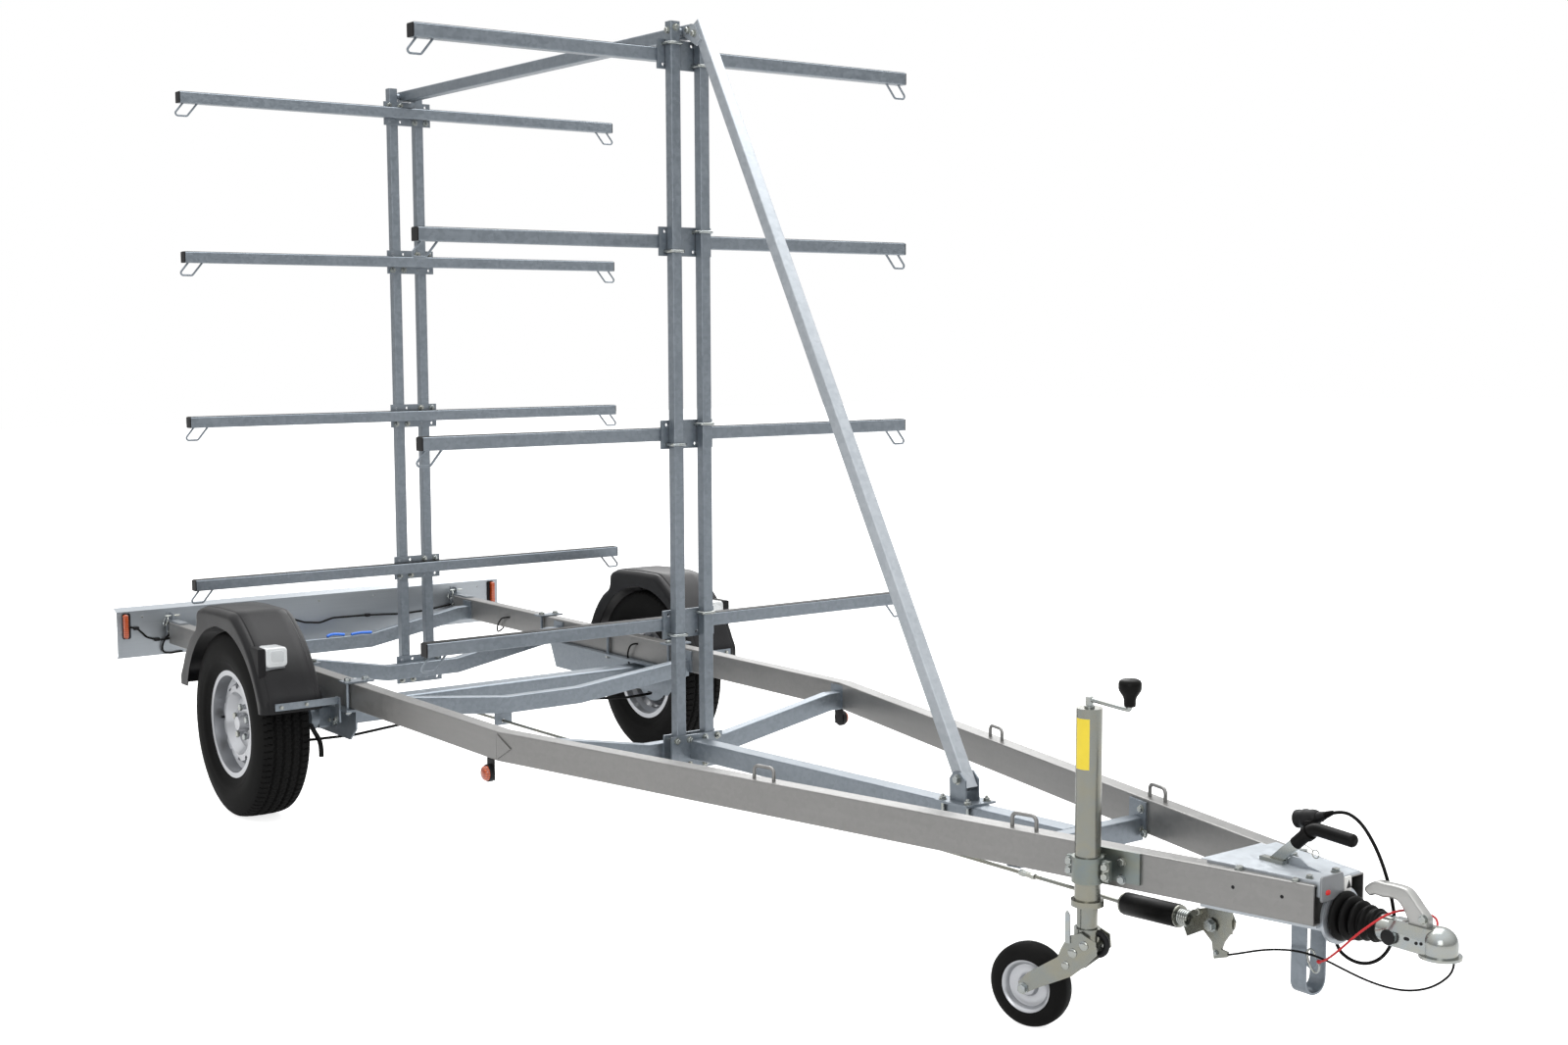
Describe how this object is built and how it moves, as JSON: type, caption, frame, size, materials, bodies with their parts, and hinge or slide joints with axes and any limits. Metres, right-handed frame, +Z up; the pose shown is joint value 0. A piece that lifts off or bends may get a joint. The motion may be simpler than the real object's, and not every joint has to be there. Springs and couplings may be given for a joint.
{
  "type": "canoe rack trailer",
  "caption": "Single-axle braked boat trailer with two tall racks of crossbars for canoes and kayaks, overrun coupling and jockey wheel.",
  "frame": {"origin": "on the ground under the middle of the whole length and width, with the trailer standing on its road wheels and jockey wheel", "axes": "+X points forward to the coupling, +Y to the trailer's left, +Z up; the frame stands 1.2 degrees nose down"},
  "size_m": [5.754, 1.968, 2.6644],
  "materials": {
    "galvanised_steel": "hot-dip galvanised, dull with a faint spangle",
    "zinc_plated_steel": "bright zinc plated",
    "wheel_steel": "silver painted steel wheel",
    "board_aluminium": "plain rolled sheet",
    "tyre_rubber": "worn black rubber",
    "jockey_rubber": "solid black rubber tread on a plastic hub",
    "black_rubber": "matt moulded rubber",
    "black_plastic": "grained black plastic",
    "red_cord": "thin woven cord",
    "red_lens": "glossy moulded lens",
    "amber_lens": "glossy moulded lens",
    "white_lens": "clear moulded lens over a white reflector"
  },
  "bodies": {
    "chassis": {"rail_right": "galvanised_steel", "axle_bracket_right": "galvanised_steel", "mudguard_right": "black_plastic", "rail_left": "galvanised_steel", "axle_bracket_left": "galvanised_steel", "mudguard_left": "black_plastic", "cross_member_rear": "galvanised_steel", "cross_member_rear_posts": "galvanised_steel", "cross_member_mid_front": "galvanised_steel", "cross_member_front_posts": "galvanised_steel", "cross_member_drawbar": "galvanised_steel", "centre_beam": "galvanised_steel", "top_beam": "galvanised_steel", "brace": "galvanised_steel", "brace_foot": "galvanised_steel", "axle_beam": "galvanised_steel", "coupling_housing": "galvanised_steel", "safety_loop": "galvanised_steel", "axle_arms": "galvanised_steel", "posts_front": "galvanised_steel", "posts_rear": "galvanised_steel", "guard_stays": "galvanised_steel", "crossbar_front_1": "galvanised_steel", "crossbar_rear_1": "galvanised_steel", "crossbar_front_2": "galvanised_steel", "crossbar_rear_2": "galvanised_steel", "crossbar_front_3": "galvanised_steel", "crossbar_rear_3": "galvanised_steel", "crossbar_front_4": "galvanised_steel", "crossbar_rear_4": "galvanised_steel", "light_board": "board_aluminium", "rear_lamps": "red_lens", "side_lamps": "amber_lens", "position_lamps": "white_lens", "rail_markers": "amber_lens", "jockey_outer_tube": "zinc_plated_steel", "jockey_clamp": "zinc_plated_steel", "jockey_crank": "zinc_plated_steel", "coupling_bellows": "black_rubber", "coupling_head": "zinc_plated_steel", "coupling_handle": "zinc_plated_steel", "handbrake_grip": "black_rubber", "brake_cables": "black_rubber", "wiring": "black_rubber", "plug_cable": "black_rubber", "breakaway_cable": "black_rubber", "release_cord": "red_cord", "handbrake_lever": "zinc_plated_steel", "brake_linkage": "zinc_plated_steel", "brake_rod": "zinc_plated_steel", "plug": "black_plastic"},
    "wheel_right": {"tyre_right": "tyre_rubber", "rim_right": "wheel_steel"},
    "wheel_left": {"tyre_left": "tyre_rubber", "rim_left": "wheel_steel"},
    "jockey_tube": {"jockey_inner_tube": "zinc_plated_steel"},
    "jockey_fork": {"jockey_fork": "zinc_plated_steel"},
    "jockey_wheel": {"jockey_wheel": "jockey_rubber"}
  },
  "joints": [
    {"name": "wheel_right_spin", "type": "hinge", "parent": "chassis", "child": "wheel_right", "pos_m": [-1.41808, -0.869, 0.333], "axis": [0, 1, 0], "continuous": true},
    {"name": "wheel_left_spin", "type": "hinge", "parent": "chassis", "child": "wheel_left", "pos_m": [-1.41808, 0.869, 0.333], "axis": [0, 1, 0], "continuous": true},
    {"name": "jockey_lift", "type": "slide", "parent": "chassis", "child": "jockey_tube", "axis": [-0.0209, 0, -0.9998], "range_m": [-0.04, 0.15]},
    {"name": "jockey_swivel", "type": "hinge", "parent": "jockey_tube", "child": "jockey_fork", "pos_m": [2.07559, -0.25544, 0.27682], "axis": [0.0209, 0, 0.9998], "continuous": true},
    {"name": "jockey_wheel_spin", "type": "hinge", "parent": "jockey_fork", "child": "jockey_wheel", "pos_m": [1.93585, -0.29963, 0.1], "axis": [-0.3089, 0.9511, 0.0065], "continuous": true}
  ]
}
